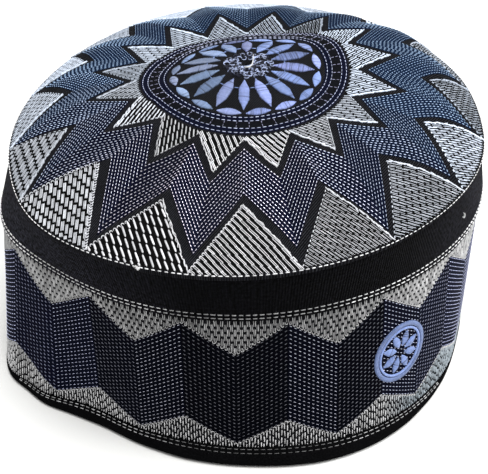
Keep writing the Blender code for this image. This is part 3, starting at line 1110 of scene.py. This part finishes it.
def wall_silver():
    """Upright stitches above and below the side's zigzag, with turns of thread where they meet it."""
    runs = []
    starts, ends = upright_bricks(1.14, lambda azimuth: side_edge(azimuth, SIDE_TOP) + 0.4,
                                  lambda azimuth: 65.4, 4, 0.7, 0.12)
    whole = (ends[:, 1] < 64.8) | (ends[:, 1] - starts[:, 1] > 2.2)
    starts, ends = starts[whole], ends[whole]
    shade = vary(WHITE * 0.66, len(starts), 0.25)
    open_top = np.where(ends[:, 1:] > 64.8, 0.42, 0.27)
    for apart in np.array(((-1, 0), (1, 0))):
        paths = straight(starts + apart * 0.27, ends + apart * open_top, 5, 0.12)
        runs.append((paths, 0.38, 0.4, shade * uniform(0.7, 1.3, (len(starts), 1))))
    starts, ends = upright_bricks(1.05, lambda azimuth: hem_level(azimuth, HEM_HEIGHT) - 0.9,
                                  lambda azimuth: side_edge(azimuth, SIDE_BOTTOM) - 0.3, 3.6, 0.5, 0.2, 0.35)
    right = np.clip((wrapped(starts[:, :1] / ARC) - 32) / 8, 0, 1)
    tint = WHITE * 0.85 * (1 - right * (0.50, 0.43, 0.38))
    runs.append((straight(starts, ends, 5, 0.14), 0.56, 0.42, vary(tint, len(starts), 0.3)))
    threads("wall_silver", on_wall, runs, SILVER_THREAD)
    count = 416
    azimuth = turns(count, 180 / count - 180)
    runs = [loops(side_spots(azimuth, side_edge(azimuth, levels) + rise), opening, 0.5, 0.34, WHITE * 0.75)
            for levels, rise, opening in ((SIDE_TOP, 0.35, pi / 2), (SIDE_BOTTOM, -0.35, -pi / 2))]
    threads("wall_silver_edges", on_wall, runs, SILVER_THREAD)


def line_of_dashes(height, count, share):
    """Dashes round the side at one height."""
    half = 360 / count * share / 2 * uniform(0.85, 1.1, (count, 1))
    return side_spots(turns(count)[:, None] + DASH * half, height)


def side_stitching():
    """Double rows of stitching at the band's lower edge and on the binding."""
    count = 248
    # Painted light: the band's stitches are tinted darker at the front and lighter round the sides, where
    # they are also wider.
    aside = np.clip((np.abs(wrapped(turns(count))) - 12) / 12, 0, 1)[:, None]
    runs = [(line_of_dashes(height, count, 0.78), 0.34 + 0.14 * aside, 0.3,
             vary(WHITE * (0.42 + 0.6 * aside), count, 0.3)) for height in (66.5, 68.3)]
    bend = np.linspace(0, 4.6, 12)
    curl = np.stack((57.2 * ARC + np.sin(bend) * 0.8 + bend * 0.2, 77.5 + np.cos(bend) * 1.1), 1)
    runs.append((curl[None], 0.28, 0.7, WHITE[None] * 0.7))
    threads("band_stitching", on_band, runs, SILVER_THREAD, sides=4)
    count = 240
    # Painted light: the binding's stitches are tinted darker at the front and lighter round the sides.
    aside = np.clip((np.abs(wrapped(turns(count))) - 14) / 12, 0, 1)[:, None]
    seen = lookup(HEM_TOPS, turns(count)) > 3.7
    runs = [(line_of_dashes(height, count, 0.74)[seen], 0.3, 0.28,
             vary(WHITE * (0.16 + 0.4 * aside), count, 0.5)[seen]) for height in (7, 5.8)]
    threads("hem_stitching", on_binding, runs, SILVER_THREAD, sides=4)


def side_motif():
    """Small satin rosette on the right of the front, a plain traditional ornament."""
    centre = np.array((37 * ARC, 35))
    runs = []
    for number in range(8):
        outward = heading(radians(45 * number + 22.5))
        runs.append(satin_leaf(centre + outward * 5.6, outward, 6.6, 3, PALE * 0.9, 0.95, 0.36))
    for radius, width, shade in ((11.6, 2, 0.6), (9.9, 1, 1)):
        count = int(tau * radius / 0.36)
        outward = heading(np.arange(count) * tau / count)
        middle, half = centre + outward * radius, outward * width / 2
        paths = straight(middle - half, middle + half, 5, 0.08)
        runs.append((paths, 0.46, 0.85, vary(PALE * shade, count, 0.1)))
    threads("side_motif", on_wall, runs, SATIN_THREAD, sides=4)


# Set

def camera():
    """The photograph's camera, placed about the sections' axis."""
    data = bpy.data.cameras.new("camera")
    data.sensor_width = 36
    data.lens = FOCAL_LENGTH * data.sensor_width / FRAME_WIDTH
    data.clip_start = 0.01
    data.clip_end = 50
    forward = Vector((sin(YAW) * cos(PITCH), cos(YAW) * cos(PITCH), -sin(PITCH)))
    right = forward.cross(Vector((0, 0, 1))).normalized()
    up = right.cross(forward)
    side = right * cos(ROLL) + up * sin(ROLL)
    top = up * cos(ROLL) - right * sin(ROLL)
    item = placed("camera", data)
    turned = Matrix((side, top, -forward)).transposed().to_4x4()
    turned.translation = (Vector(CAMERA_PLACE) + Vector(SHIFT)) * MM
    item.matrix_world = turned
    scene.camera = item


def area_light(name, place, size, power):
    data = bpy.data.lights.new(name, "AREA")
    data.shape = "DISK"
    data.size = size
    data.energy = power
    item = placed(name, data)
    item.location = place
    item.rotation_euler = (Vector((0, 0, 0.05)) - Vector(place)).to_track_quat("-Z", "Y").to_euler()


def studio():
    mesh = bpy.data.meshes.new("floor")
    mesh.from_pydata([(-6, -6, 0), (6, -6, 0), (6, 6, 0), (-6, 6, 0)], [], [(0, 1, 2, 3)])
    material, tree, shader = new_material("floor", 0.1)
    connect(tree, shader, {"Base Color": (0.78, 0.78, 0.765, 1)})
    mesh.materials.append(material)
    floor = placed("floor", mesh)
    world = bpy.data.worlds.new("studio")
    world.use_nodes = True
    background = world.node_tree.nodes["Background"]
    background.inputs["Color"].default_value = (1, 1, 1, 1)
    background.inputs["Strength"].default_value = 0.55
    scene.world = world
    area_light("key", (0.3, -0.2, 1.5), 1.5, 45)
    area_light("right", (1.1, -0.25, 0.6), 0.8, 6)
    scene.view_settings.view_transform = "Standard"
    scene.view_settings.look = "None"


def cloths():
    top = crown_cloth()
    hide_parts("crown")
    heights = join((np.linspace(1.5, BAND_Z, 18), np.linspace(BAND_Z, CLOTH_TOP, 6)[1:]))
    wall = side_shell("wall_cloth", heights, 0, WALL_THICKNESS, BLACK_TWILL, 0)
    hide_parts("side_wall")
    heights = np.linspace(BAND_Z - 1.8, CLOTH_TOP, 12)
    band = side_shell("band_cloth", heights, GAP + BAND_THICKNESS, BAND_THICKNESS, BRUSHED_BLACK, 0.12)
    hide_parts("top_band")
    binding = binding_cloth()
    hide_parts("rim_binding")


cloths()
star()
crown_silver()
seam_stitches()
rosette()
knots()
wall_zigzag()
wall_silver()
side_stitching()
side_motif()
camera()
studio()
